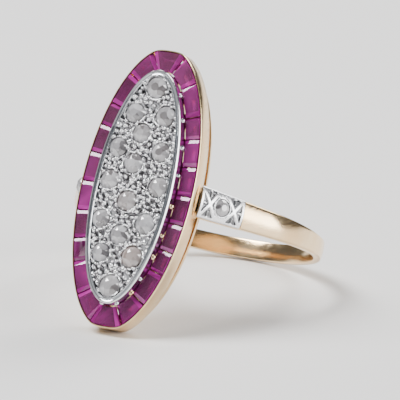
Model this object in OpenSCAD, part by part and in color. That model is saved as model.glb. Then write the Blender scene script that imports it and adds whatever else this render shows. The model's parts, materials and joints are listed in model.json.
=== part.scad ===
// Navette ring: a gold band carrying a long oval head, edged with calibre-cut
// rubies round a platinum plate of grain-set diamonds, with a white metal cap
// and a small diamond on each shoulder. The ring lies on its side.
// The ring's own axes are radius toward the head (X), width (Y) and finger
// axis (Z). The last step turns it down onto the two edges that it rests on.

/* [Band] */
// Diameter of the finger hole
finger_hole_d = 17; // [16:0.5:20]
// Thickness of the band from its inside to its crest
band_t = 0.6; // [0.5:0.05:0.9]
// Width of the band at the back
band_w_back = 1.4; // [1:0.1:2]
// Width of the arms where they reach the head
band_w_head = 2.2; // [1.8:0.1:2.8]
// How far behind the finger hole's centre the band starts to widen
taper_back = 2.1; // [1:0.1:4]
// Radius of the band's domed outside across its width
band_dome_r = 3; // [2.5:0.5:6]
// Angle from the head at which each arm leaves the circle and runs straight
arm_angle = 60; // [56:1:64]
// Angle from the head at which the inside leaves the finger circle
bore_angle = 44; // [42:1:44]
// Where each arm's outside stops, measured out from the side of the head
arm_end_gap = 0.34; // [0.2:0.02:0.5]
// How far in under the groove each arm's foot reaches
arm_foot_in = 0.1; // [0.08:0.02:0.12]
// How far below its outer end each arm's solder meets the wall
solder_drop = 0.22; // [0.16:0.02:0.3]

/* [Head] */
// Length of the oval head at its lip, between its blunt ends
head_l = 20.3; // [18:0.1:22]
// Width of the oval head at its lip
head_w = 8.92; // [8.4:0.02:9.6]
// Width of the flat across each end of the head
end_flat = 1.7; // [1.2:0.1:2.2]
// Space between the finger circle and the underside of the head
head_clear = 0.3; // [0.2:0.05:0.6]
// Height of the gallery rail under the head
rail_h = 0.3; // [0.2:0.05:0.5]
// How much shorter the gallery rail is than the lip, at each end
rail_inset = 0.55; // [0.4:0.05:0.8]
// Height of the groove between the rail and the wall
groove_h = 0.27; // [0.2:0.01:0.4]
// Depth of that groove
groove_d = 0.3; // [0.15:0.05:0.4]
// Height of the outer wall, up to its lip
wall_h = 1.33; // [1.2:0.05:1.6]
// Thickness of the outer wall
wall_t = 0.16; // [0.14:0.02:0.3]
// Thickness of the pierced back that the stones sit on
back_t = 0.85; // [0.8:0.05:0.9]
// Thickness of the gold backing under the platinum plate
backing_t = 0.5; // [0.4:0.05:0.7]
// Thickness of the wall round the hollow below that backing
pocket_wall = 0.45; // [0.35:0.05:0.6]

/* [Platinum plate] */
// Height of the plate's top above the lip
plate_rise = 0.75; // [0.6:0.05:0.9]
// Thickness of the plate
plate_t = 0.6; // [0.5:0.05:0.7]
// How far the gold core under the plate stands back from the plate's edge
core_inset = 0.1; // [0.05:0.05:0.2]
// Width of the plain rim round the plate
rim_w = 0.22; // [0.15:0.01:0.3]
// Width and depth of the fine line cut inside the rim
rim_line = 0.08; // [0.04:0.01:0.1]

/* [Rubies] */
// Width of the ruby row at the sides of the head
ruby_w_side = 1.09; // [0.95:0.02:1.15]
// Width of the ruby row at the ends of the head
ruby_w_end = 1.36; // [1.1:0.02:1.5]
// Space between the plate's edge and the rubies
ruby_plate_gap = 0.05; // [0.03:0.01:0.1]
// Gap between neighbouring rubies
ruby_joint = 0.06; // [0.03:0.01:0.12]
// Depth of a ruby from table to keel
ruby_depth = 1.0; // [0.9:0.05:1.05]
// Height of the rubies' tables above the lip
ruby_rise = 0.05; // [0:0.05:0.2]
// Diameter of the hole pierced behind each ruby
ruby_hole_d = 0.8; // [0.5:0.1:0.9]
// Metal left between those holes and the groove round the head
ruby_hole_wall = 0.12; // [0.08:0.02:0.2]

/* [Diamonds] */
// Usual diameter of a diamond in the plate
diamond_d = 1.4; // [1.2:0.05:1.45]
// Depth of a diamond's girdle below the plate's top
diamond_sink = 0.22; // [0.15:0.01:0.3]
// Diameter of the small diamond on each shoulder
shoulder_diamond_d = 1.2; // [1:0.05:1.25]

/* [Shoulder caps] */
// Length of each white metal cap along the arm
cap_l = 3.7; // [3:0.1:4]
// Thickness of the caps
cap_t = 0.35; // [0.3:0.05:0.4]
// Width of the plain border round the cap's cut pattern
cap_border = 0.26; // [0.2:0.02:0.3]
// Depth of the cap's cut pattern
cap_cut = 0.12; // [0.08:0.02:0.16]

/* [Fits] */
// Gap left between a stone or plate and the metal that holds it
fit_gap = 0.03; // [0.02:0.01:0.05]

/* [Hidden] */
$fn = 96;
// Overrun of a cutter past the face that it cuts
over = 1;

// Angles round the middle of the ruby row at which two rubies meet, chosen
// for one quarter of the oval and mirrored to the other three
JOINTS = [0, 13, 26, 37.5, 56.5, 77];
ring_joints = concat(
    JOINTS,
    [for (i = [len(JOINTS) - 1 : -1 : 0]) 180 - JOINTS[i]],
    [for (i = [1 : len(JOINTS) - 1]) 180 + JOINTS[i]],
    [for (i = [len(JOINTS) - 1 : -1 : 0]) 360 - JOINTS[i]]
);
ruby_count = len(ring_joints) - 1;

// Steps of the ruby's cut: [height as a share of its depth, inset as a share
// of half the row's width at the sides]
RUBY_STEPS = [[0, 0.8], [0.36, 0.4], [0.7, 0], [0.76, 0], [0.92, 0.2], [1, 0.42]];
// Places along a ruby's long edge that carry a corner, as shares of its length
RUBY_STATIONS = [0, 0.14, 0.5, 0.86, 1];

// Diamonds in the plate: [place across, place along, diameter], as shares of
// the plate's half width, its half length and the usual diameter
DIAMONDS = [
    [0, 0.847, 1.1], [-0.39, 0.61, 1], [0.38, 0.62, 1.05], [-0.11, 0.454, 0.94],
    [-0.607, 0.306, 0.98], [0.47, 0.316, 1], [-0.14, 0.194, 1.02],
    [-0.62, 0.033, 0.98], [0.6, 0.026, 1.02], [-0.08, -0.124, 1.02],
    [-0.62, -0.306, 0.94], [0.495, -0.292, 1.05], [-0.067, -0.412, 1],
    [-0.425, -0.584, 0.93], [0.367, -0.58, 1.1], [0, -0.849, 1.14]
];
// Diamond's cut, as shares of its diameter: table radius, radius and height of
// the ring of break points, crown height, girdle height and pavilion depth
table_share = 0.2;
break_share = 0.36;
break_height = 0.15;
crown_share = 0.23;
girdle_share = 0.03;
pavilion_share = 0.26;
// Hole drilled behind each diamond, as a share of its diameter
drill_share = 0.6;

// Levels, measured from the finger hole's centre toward the head
bore_r = finger_hole_d / 2;
band_r = bore_r + band_t;
under_r = bore_r + head_clear;
groove_low = under_r + rail_h;
wall_low = groove_low + groove_h;
lip_r = wall_low + wall_h;
floor_r = under_r + back_t;
plate_top = lip_r + plate_rise;
plate_low = plate_top - plate_t;
ruby_top = lip_r + ruby_rise;
girdle_r = plate_top - diamond_sink;

// Half sizes of the ovals as [across, along]. The four of the head's wall and
// gallery are blunt: along is where the flat cuts their ends
lip_semi = [head_w / 2, head_l / 2];
channel_semi = [for (v = lip_semi) v - wall_t];
rail_semi = [head_w / 2, head_l / 2 - rail_inset];
groove_semi = [for (v = rail_semi) v - groove_d];
ruby_outer = [for (v = channel_semi) v - fit_gap];
ruby_inner = ruby_outer - [ruby_w_side, ruby_w_end];
ruby_mid = (ruby_outer + ruby_inner) / 2;
plate_semi = [for (v = ruby_inner) v - ruby_plate_gap];
core_semi = [for (v = plate_semi) v - core_inset];
pocket_semi = [for (v = core_semi) v - pocket_wall];

// The whole oval of which a blunt one is cut
function whole(semi) = [semi[0], semi[1] / sqrt(1 - pow(end_flat / 2 / semi[0], 2))];

// The arm: its outside is the line at band_r from the centre, square to
// arm_angle, and its end lies arm_end_gap outside the head
arm_end_y = lip_semi[0] + arm_end_gap;
arm_run = (band_r * sin(arm_angle) - arm_end_y) / cos(arm_angle);
arm_end_x = band_r * cos(arm_angle) + arm_run * sin(arm_angle);
// Inside of the arm: it leaves the finger circle at bore_angle and runs
// straight to its foot under the rail
foot = [under_r, groove_semi[0] - arm_foot_in];
bore_end = bore_r * [cos(bore_angle), sin(bore_angle)];
flare_start = bore_end + over * (bore_end - foot) / norm(bore_end - foot);
cap_start = arm_run - cap_l;
cap_mid = arm_run - cap_l / 2;

// Rest: the ring lies on the band's lower back edge and the wall's lower tip
back_edge_drop = band_dome_r - sqrt(pow(band_dome_r, 2) - pow(band_w_back / 2, 2));
back_edge_r = band_r - back_edge_drop;
tilt = atan((lip_semi[1] - band_w_back / 2) / (wall_low + back_edge_r));
rest_low = wall_low * sin(tilt) - lip_semi[1] * cos(tilt);
front_x = lip_r * cos(tilt) + lip_semi[1] * sin(tilt);
back_x = -back_edge_r * cos(tilt) - band_w_back / 2 * sin(tilt);

function two_digits(i) = str(i < 10 ? "0" : "", i);
function ruby_name(i) = str("ruby_", two_digits(i));
function diamond_name(i) = str("diamond_", two_digits(i));

// Turns the ring's own axes to the way it lies, with the origin under the
// middle of its bounding box
module rest() {
    translate([-(front_x + back_x) / 2, 0, -rest_low]) rotate([0, -tilt, 0]) children();
}

// Head axes: across (X), along (Y) and up from the finger (Z)
module head_axes() {
    rotate([90, 0, 90]) children();
}

// Arm axes on one side: out from the band (X), toward the head (-Y), finger
// axis (Z), with the origin at the finger hole's centre
module arm_axes(side) {
    mirror([0, side < 0 ? 1 : 0, 0]) rotate([0, 0, arm_angle]) children();
}

module oval(semi, low, high) {
    translate([0, 0, low]) linear_extrude(high - low) scale(semi) circle(r = 1);
}

module blunt_oval(semi, low, high) {
    translate([0, 0, low]) linear_extrude(high - low) intersection() {
        scale(whole(semi)) circle(r = 1);
        square([2 * semi[0] + over, 2 * semi[1]], center = true);
    }
}

// Cross-section of the band: domed outside, as wide as the arms at the head
module band_section() {
    depth = 2 * band_t + head_clear + rail_h;
    intersection() {
        translate([band_r - band_dome_r, 0]) circle(r = band_dome_r);
        translate([band_r - depth, -band_w_head / 2]) square([depth, band_w_head]);
    }
}

// Outside form of one straight arm, before its inside is cut
module arm_stock(side) {
    arm_axes(side) rotate([90, 0, 0]) linear_extrude(arm_run + over) band_section();
}

// Side view limits: constant at the back, widening evenly to the middle of the
// gallery rail
module width_taper() {
    reach = 2 * bore_r;
    half = band_w_back / 2;
    slope = (band_w_head - band_w_back) / 2 / (under_r + rail_h / 2 + taper_back);
    wide = half + slope * (reach + taper_back);
    rotate([90, 0, 0]) translate([0, 0, -reach]) linear_extrude(2 * reach) polygon([
        [-reach, -half], [-taper_back, -half], [reach, -wide],
        [reach, wide], [-taper_back, half], [-reach, half]
    ]);
}

// Everything inside the arms: the finger hole and its flare under the head
module finger_space() {
    tall = 2 * band_w_head;
    translate([0, 0, -tall / 2]) {
        cylinder(r = bore_r, h = tall, $fn = 2 * $fn);
        linear_extrude(tall) polygon([
            [flare_start[0], -flare_start[1]], [foot[0], -foot[1]], [wall_low, -foot[1]],
            [wall_low, foot[1]], foot, flare_start
        ]);
    }
}

// Space beyond an arm's end: from its outside down to its solder on the wall
module beyond_arm(side) {
    tall = 2 * band_w_head;
    in_wall = lip_semi[0] - wall_t / 2;
    solder_r = arm_end_x - solder_drop;
    low_r = min(wall_low, solder_r);
    mirror([0, side < 0 ? 1 : 0, 0]) translate([0, 0, -tall / 2]) linear_extrude(tall) polygon([
        [low_r, 0], [low_r, in_wall], [solder_r, in_wall], [solder_r, lip_semi[0]],
        [arm_end_x, arm_end_y], [arm_end_x + over, arm_end_y], [2 * lip_r, 0]
    ]);
}

// Part of the arm, from a given distance out and a given run along it
module arm_part(side, out, run) {
    arm_axes(side) translate([out, -arm_run - over, -band_w_head])
        cube([band_dome_r, arm_run + over - run, 2 * band_w_head]);
}

module shank() {
    difference() {
        intersection() {
            union() {
                rotate_extrude() band_section();
                arm_stock(1);
                arm_stock(-1);
            }
            width_taper();
        }
        finger_space();
        for (side = [-1, 1]) {
            beyond_arm(side);
            arm_part(side, band_r - cap_t - fit_gap, cap_start - fit_gap);
        }
    }
}

// Drilled seat under a shoulder diamond, through the cap and into the gold
module shoulder_seat(side) {
    arm_axes(side) translate([band_r - 2 * cap_t, -cap_mid, 0]) rotate([0, 90, 0]) {
        cylinder(r = shoulder_diamond_d * drill_share / 2, h = 2 * cap_t);
        translate([0, 0, cap_t]) cylinder(r = shoulder_diamond_d / 2 + fit_gap, h = cap_t + over);
    }
}

// The head's metal: rail, groove, wall, floor and the core under the plate
module head_metal() {
    blunt_oval(rail_semi, under_r, groove_low);
    blunt_oval(groove_semi, under_r, floor_r);
    difference() {
        blunt_oval(lip_semi, wall_low, lip_r);
        blunt_oval(channel_semi, floor_r, lip_r + over);
    }
    oval(core_semi, under_r, plate_low - fit_gap);
}

// Openings in the back: the hollow under the plate's backing and a hole behind
// each stone
module back_openings() {
    oval(pocket_semi, under_r - over, plate_low - fit_gap - backing_t);
    for (i = [0 : ruby_count - 1]) {
        middle = (ring_joints[i] + ring_joints[i + 1]) / 2;
        room = reach_blunt(groove_semi, middle) - ruby_hole_d / 2 - ruby_hole_wall;
        p = ruby_point(middle, min(0, room));
        translate([p[0], p[1], under_r - over]) cylinder(r = ruby_hole_d / 2, h = back_t + over);
    }
    for (d = DIAMONDS) {
        translate([d[0] * plate_semi[0], d[1] * plate_semi[1], under_r - over])
            cylinder(r = d[2] * diamond_d * drill_share / 2, h = lip_r);
    }
}

module gold_mount() {
    color("khaki") rest() difference() {
        union() {
            shank();
            head_axes() head_metal();
        }
        head_axes() back_openings();
        for (side = [-1, 1]) shoulder_seat(side);
    }
}

module platinum_plate() {
    line_out = [for (v = plate_semi) v - rim_w];
    line_in = [for (v = line_out) v - rim_line];
    color("gainsboro") rest() head_axes() difference() {
        oval(plate_semi, plate_low, plate_top);
        difference() {
            oval(line_out, plate_top - rim_line, plate_top + over);
            oval(line_in, plate_top - 2 * rim_line, plate_top + 2 * over);
        }
        for (d = DIAMONDS) {
            wide = d[2] * diamond_d;
            seat = girdle_r - fit_gap - wide * pavilion_share * (1 - drill_share);
            translate([d[0] * plate_semi[0], d[1] * plate_semi[1], 0]) {
                translate([0, 0, seat]) cylinder(r = wide / 2 + fit_gap, h = plate_t);
                translate([0, 0, plate_low - over]) cylinder(r = wide * drill_share / 2, h = plate_t + over);
            }
        }
    }
}

// One of the four sunk triangles between the cap's crossed bars, pointing at
// the diamond from the middle of one side
module cap_triangle(half_side, reach) {
    polygon([[-half_side, reach], [half_side, reach], [0, shoulder_diamond_d / 2 + cap_border / 2]]);
}

module cap_pattern() {
    half_l = cap_l / 2 - cap_border;
    half_w = (band_w_head + band_w_back) / 4 - cap_border / 2;
    bar = cap_border / 2;
    for (turn = [0, 180]) rotate(turn) cap_triangle(half_w - bar, half_l);
    intersection() {
        square([2 * half_w, 2 * half_l], center = true);
        difference() {
            for (side = [-1, 1], end = [-1, 1]) polygon([
                [side * half_w, end * (half_l - 2 * bar)], [side * half_w, end * bar],
                [side * half_w / 2, end * (half_l / 2 - bar / 2)]
            ]);
            circle(r = shoulder_diamond_d / 2 + cap_border / 2);
        }
    }
}

module shoulder_cap(side) {
    color("whitesmoke") rest() difference() {
        intersection() {
            arm_stock(side);
            width_taper();
            arm_part(side, band_r - cap_t, cap_start);
        }
        beyond_arm(side);
        shoulder_seat(side);
        arm_axes(side) translate([band_r - cap_cut, -cap_mid, 0]) rotate([0, 90, 0])
            linear_extrude(over) cap_pattern();
    }
}

module shoulder_cap_left() {
    shoulder_cap(1);
}

module shoulder_cap_right() {
    shoulder_cap(-1);
}

// Faces of a stack of rings with n points each, the lowest ring first
function ring_faces(n, rings) = concat(
    [[for (i = [0 : n - 1]) i]],
    [for (k = [0 : n : (rings - 2) * n], i = [0 : n - 1]) [k + i, k + n + i, k + n + (i + 1) % n]],
    [for (k = [0 : n : (rings - 2) * n], i = [0 : n - 1]) [k + i, k + n + (i + 1) % n, k + (i + 1) % n]],
    [[for (i = [n - 1 : -1 : 0]) (rings - 1) * n + i]]
);

// A point of the ruby row: at an angle round the middle oval, and a distance
// out from it square to the row
function on_oval(semi, angle) = [semi[0] * cos(angle), semi[1] * sin(angle)];
function out_from(semi, angle) = let (v = [cos(angle) / semi[0], sin(angle) / semi[1]]) v / norm(v);
function ruby_point(angle, out) = on_oval(ruby_mid, angle) + out * out_from(ruby_mid, angle);

// Distance from the middle oval, square to it, to another oval
function reach_to(semi, angle) =
    let (p = on_oval(ruby_mid, angle), n = out_from(ruby_mid, angle),
        a = pow(n[0] / semi[0], 2) + pow(n[1] / semi[1], 2),
        b = p[0] * n[0] / pow(semi[0], 2) + p[1] * n[1] / pow(semi[1], 2),
        c = pow(p[0] / semi[0], 2) + pow(p[1] / semi[1], 2) - 1)
    (sqrt(b * b - a * c) - b) / a;

// The same to a blunt oval, whose flat may come first
function reach_blunt(semi, angle) =
    let (p = on_oval(ruby_mid, angle), n = out_from(ruby_mid, angle))
    min(reach_to(whole(semi), angle), (semi[1] - abs(p[1])) / abs(n[1]));

// Angle covered by one millimetre along the middle oval
function angle_per_mm(angle) =
    180 / PI / norm([ruby_mid[0] * sin(angle), ruby_mid[1] * cos(angle)]);

// Outline of one ruby, drawn in by the same distance on every side
function ruby_ring(from, to, inset, level) =
    let (low = from + (ruby_joint / 2 + inset) * angle_per_mm(from),
        high = to - (ruby_joint / 2 + inset) * angle_per_mm(to),
        last = len(RUBY_STATIONS) - 1)
    concat(
        [for (s = RUBY_STATIONS) let (v = low + s * (high - low))
            concat(ruby_point(v, reach_blunt(ruby_outer, v) - inset), level)],
        [for (k = [last : -1 : 0]) let (v = low + RUBY_STATIONS[k] * (high - low))
            concat(ruby_point(v, reach_to(ruby_inner, v) + inset), level)]
    );

module ruby(i) {
    points = [for (step = RUBY_STEPS) each ruby_ring(
        ring_joints[i - 1], ring_joints[i], step[1] * ruby_w_side / 2,
        ruby_top - ruby_depth + step[0] * ruby_depth)];
    color("deeppink") rest() head_axes()
        polyhedron(points, ring_faces(2 * len(RUBY_STATIONS), len(RUBY_STEPS)));
}

// Points of a round stone: one ring of n points at a radius and height
function round_ring(n, r, z, turn) =
    [for (i = [0 : n - 1]) [r * cos(360 * i / n + turn), r * sin(360 * i / n + turn), z]];

// A round old-cut stone with its girdle's top at height 0: a small table, a
// ring of eight break points, a 16-sided girdle and a shallow point below
module cut_stone(d) {
    n = 8;
    turn = 180 / n;
    brk = n;
    high = 2 * n;
    low = 4 * n;
    tip = 6 * n;
    points = concat(
        round_ring(n, table_share * d, crown_share * d, 0),
        round_ring(n, break_share * d, break_height * d, turn),
        round_ring(2 * n, d / 2, 0, 0),
        round_ring(2 * n, d / 2, -girdle_share * d, 0),
        [[0, 0, -pavilion_share * d]]
    );
    faces = concat(
        [[for (k = [n - 1 : -1 : 0]) k]],
        [for (k = [0 : n - 1]) [k, (k + 1) % n, brk + k]],
        [for (k = [0 : n - 1]) [k, brk + k, brk + (k + n - 1) % n]],
        [for (k = [0 : n - 1]) [brk + (k + n - 1) % n, brk + k, high + 2 * k]],
        [for (k = [0 : n - 1]) [brk + k, high + 2 * k + 1, high + 2 * k]],
        [for (k = [0 : n - 1]) [brk + k, high + (2 * k + 2) % (2 * n), high + 2 * k + 1]],
        [for (j = [0 : 2 * n - 1]) let (next = (j + 1) % (2 * n)) [low + j, high + j, high + next, low + next]],
        [for (j = [0 : 2 * n - 1]) [low + j, low + (j + 1) % (2 * n), tip]]
    );
    polyhedron(points, faces);
}

module diamond(i) {
    d = DIAMONDS[i - 1];
    wide = d[2] * diamond_d;
    color("lightsteelblue") rest() head_axes()
        translate([d[0] * plate_semi[0], d[1] * plate_semi[1], girdle_r + girdle_share * wide])
            cut_stone(wide);
}

module shoulder_diamond(side) {
    color("lightsteelblue") rest() arm_axes(side)
        translate([band_r - cap_t + pavilion_share * shoulder_diamond_d, -cap_mid, 0])
            rotate([0, 90, 0]) cut_stone(shoulder_diamond_d);
}

module shoulder_diamond_left() {
    shoulder_diamond(1);
}

module shoulder_diamond_right() {
    shoulder_diamond(-1);
}

gold_mount();
platinum_plate();
shoulder_cap_left();
shoulder_cap_right();
shoulder_diamond_left();
shoulder_diamond_right();
for (i = [1 : ruby_count]) ruby(i);
for (i = [1 : len(DIAMONDS)]) diamond(i);
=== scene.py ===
"""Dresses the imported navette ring: worn gold, grained platinum, rubies, diamonds and engraved shoulders."""

from __future__ import annotations

import json
import logging
import math
from dataclasses import dataclass, field
from enum import Enum
from typing import Callable, Sequence

import bpy
import numpy as np
from mathutils import Matrix, Vector

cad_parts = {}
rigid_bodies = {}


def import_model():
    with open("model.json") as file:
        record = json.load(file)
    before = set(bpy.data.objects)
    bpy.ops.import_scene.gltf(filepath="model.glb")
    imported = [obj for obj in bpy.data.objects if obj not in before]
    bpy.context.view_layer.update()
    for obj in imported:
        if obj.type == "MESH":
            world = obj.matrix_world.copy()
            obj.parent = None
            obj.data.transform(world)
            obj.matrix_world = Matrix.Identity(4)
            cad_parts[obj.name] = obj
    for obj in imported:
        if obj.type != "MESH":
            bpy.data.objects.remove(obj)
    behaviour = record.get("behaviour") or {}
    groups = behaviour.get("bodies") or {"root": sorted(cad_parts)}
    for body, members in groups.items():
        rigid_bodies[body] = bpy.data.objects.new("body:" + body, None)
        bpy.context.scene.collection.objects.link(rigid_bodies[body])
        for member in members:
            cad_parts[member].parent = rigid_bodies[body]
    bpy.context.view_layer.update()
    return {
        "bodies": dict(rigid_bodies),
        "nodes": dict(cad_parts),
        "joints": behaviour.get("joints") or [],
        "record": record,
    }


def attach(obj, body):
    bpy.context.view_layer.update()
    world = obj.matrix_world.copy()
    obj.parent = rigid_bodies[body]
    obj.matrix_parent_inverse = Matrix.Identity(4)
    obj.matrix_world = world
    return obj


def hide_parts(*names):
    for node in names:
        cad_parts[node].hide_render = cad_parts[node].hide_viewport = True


LOG = logging.getLogger("navette_ring")
MILLIMETRE = 0.001
BODY = "root"
FACING = 0.99
SAME_LEVEL = 0.02


class Slot(Enum):
    """The record's material slots."""

    GOLD = "gold"
    PLATINUM = "platinum"
    WHITE = "white_gold"
    RUBY = "ruby"
    DIAMOND = "diamond"


class Side(Enum):
    """The ring's two shoulders, by the sign of their place across it."""

    LEFT = 1
    RIGHT = -1


@dataclass(frozen=True)
class RingAxes:
    """The ring's own axes in the row frame: toward the head, across, and along the finger."""

    centre: Vector
    outward: Vector
    across: Vector
    finger: Vector

    @classmethod
    def from_record(cls, record: dict) -> RingAxes:
        """Reads the axes from the finger hole's mount.

        Args:
            record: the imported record.

        Returns:
            The ring's axes, with the origin at the finger hole's centre.
        """
        mount = next(m for m in record["mounts"] if m["name"] == "finger_hole")
        finger = Vector(mount["axis"]).normalized()
        across = Vector((0.0, 1.0, 0.0))
        return cls(Vector(mount["pos_m"]), across.cross(finger).normalized(), across, finger)

    def _matrix(self, x: Vector, y: Vector, z: Vector) -> Matrix:
        """Matrix from millimetres on three axes to the row frame's metres."""
        turn = Matrix((x, y, z)).transposed().to_4x4()
        return Matrix.Translation(self.centre) @ turn @ Matrix.Scale(MILLIMETRE, 4)

    def ring(self) -> Matrix:
        """Axes of the band: outward, across, finger."""
        return self._matrix(self.outward, self.across, self.finger)

    def head(self) -> Matrix:
        """Axes of the head: across, along the finger, outward."""
        return self._matrix(self.across, self.finger, self.outward)

    def arm(self, side: Side, angle: float) -> Matrix:
        """Axes of one straight arm: toward the head, across the band, out from it.

        Args:
            side: the shoulder.
            angle: the angle from the head at which the arm leaves the circle, in radians.

        Returns:
            The matrix from the arm's millimetres to the row frame.
        """
        sign = side.value
        out = self.outward * math.cos(angle) + self.across * (sign * math.sin(angle))
        along = self.outward * math.sin(angle) - self.across * (sign * math.cos(angle))
        return self._matrix(along, self.finger * -sign, out)


class Bench:
    """Small modelling steps that the classes below share."""

    @staticmethod
    def clear() -> None:
        """Deselects everything."""
        bpy.ops.object.select_all(action="DESELECT")

    @staticmethod
    def named(name: str) -> bpy.types.Object:
        """Names the object that was just added and returns it."""
        piece = bpy.context.active_object
        piece.name = name
        piece.data.name = name
        return piece

    @staticmethod
    def points(piece: bpy.types.Object) -> np.ndarray:
        """Returns the piece's vertices as rows of x, y, z."""
        flat = np.zeros(len(piece.data.vertices) * 3)
        piece.data.vertices.foreach_get("co", flat)
        return flat.reshape(-1, 3)

    @staticmethod
    def move_points(piece: bpy.types.Object, places: np.ndarray) -> None:
        """Puts the piece's vertices at new places."""
        piece.data.vertices.foreach_set("co", places.astype(np.float32).ravel())
        piece.data.update()

    @classmethod
    def grid(cls, name: str, columns: int, rows: int) -> bpy.types.Object:
        """Adds a flat grid from 0 to 1 each way.

        Args:
            name: the piece's name.
            columns: faces along X.
            rows: faces along Y.

        Returns:
            The grid, with its vertices between 0 and 1 in X and Y.
        """
        cls.clear()
        bpy.ops.mesh.primitive_grid_add(x_subdivisions=columns, y_subdivisions=rows, size=1.0)
        piece = cls.named(name)
        places = cls.points(piece)
        low, high = places.min(0), places.max(0)
        span = np.where(high > low, high - low, 1.0)
        cls.move_points(piece, (places - low) / span)
        return piece

    @classmethod
    def pick(cls, piece: bpy.types.Object) -> None:
        """Selects one piece alone and makes it active."""
        cls.clear()
        piece.select_set(True)
        bpy.context.view_layer.objects.active = piece

    @classmethod
    def edit_chosen(cls, piece: bpy.types.Object, kind: str = "VERT") -> None:
        """Enters edit mode on one piece and keeps what is selected in it."""
        cls.pick(piece)
        bpy.ops.object.mode_set(mode="EDIT")
        bpy.ops.mesh.select_mode(type=kind)

    @classmethod
    def edit(cls, piece: bpy.types.Object, choice: str = "SELECT") -> None:
        """Enters edit mode on one piece with all or nothing selected."""
        cls.edit_chosen(piece)
        bpy.ops.mesh.select_all(action=choice)

    @staticmethod
    def leave() -> None:
        """Goes back to object mode."""
        bpy.ops.object.mode_set(mode="OBJECT")

    @classmethod
    def tidy(cls, piece: bpy.types.Object, merge: float) -> None:
        """Merges doubled vertices and turns all faces outwards.

        Args:
            piece: the mesh.
            merge: the distance under which vertices are joined.
        """
        cls.edit(piece)
        bpy.ops.mesh.remove_doubles(threshold=merge)
        bpy.ops.mesh.normals_make_consistent(inside=False)
        cls.leave()

    @classmethod
    def close(cls, piece: bpy.types.Object, merge: float) -> None:
        """Merges doubles, fills open edges and turns all faces outwards."""
        cls.edit(piece)
        bpy.ops.mesh.remove_doubles(threshold=merge)
        bpy.ops.mesh.select_all(action="DESELECT")
        bpy.ops.mesh.select_non_manifold(extend=False, use_wire=False, use_multi_face=False)
        bpy.ops.mesh.fill_holes(sides=0)
        bpy.ops.mesh.select_all(action="SELECT")
        bpy.ops.mesh.normals_make_consistent(inside=False)
        cls.leave()

    @classmethod
    def modifier(cls, piece: bpy.types.Object, kind: str, **settings: object) -> None:
        """Adds a modifier with these settings and applies it."""
        cls.pick(piece)
        made = piece.modifiers.new(kind.lower(), kind)
        for key, value in settings.items():
            setattr(made, key, value)
        bpy.ops.object.modifier_apply(modifier=made.name)

    @classmethod
    def bevel(cls, piece: bpy.types.Object, width: float, segments: int = 2) -> None:
        """Rounds the piece's sharp edges."""
        cls.modifier(
            piece, "BEVEL", width=width, segments=segments, limit_method="ANGLE",
            angle_limit=math.radians(32), use_clamp_overlap=True,
        )

    @classmethod
    def join(cls, name: str, pieces: Sequence[bpy.types.Object]) -> bpy.types.Object:
        """Joins pieces into one and names it."""
        cls.clear()
        for piece in pieces:
            piece.select_set(True)
        bpy.context.view_layer.objects.active = pieces[0]
        if len(pieces) > 1:
            bpy.ops.object.join()
        return cls.named(name)

    @classmethod
    def smooth(cls, piece: bpy.types.Object, angle: float = 35.0) -> None:
        """Shades the piece smooth, with edges past an angle in degrees kept sharp."""
        cls.pick(piece)
        bpy.ops.object.shade_smooth_by_angle(angle=math.radians(angle))

    @staticmethod
    def seat(
        piece: bpy.types.Object,
        matrix: Matrix,
        finish: bpy.types.Material,
        slot: Slot,
        nodes: Sequence[str] = (),
    ) -> bpy.types.Object:
        """Args:
            piece: the mesh, in millimetres on its own axes.
            matrix: from those axes to the row frame.
            finish: its material.
            slot: the record's slot that it belongs to; not used.
            nodes: the CAD nodes that it stands for.

        Returns:
            The same piece.
        """
        piece.data.transform(matrix)
        piece.data.update()
        piece.data.materials.clear()
        piece.data.materials.append(finish)
        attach(piece, BODY)
        if nodes:
            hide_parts(*nodes)
        LOG.info("%s: %d faces", piece.name, len(piece.data.polygons))
        return piece


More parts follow.
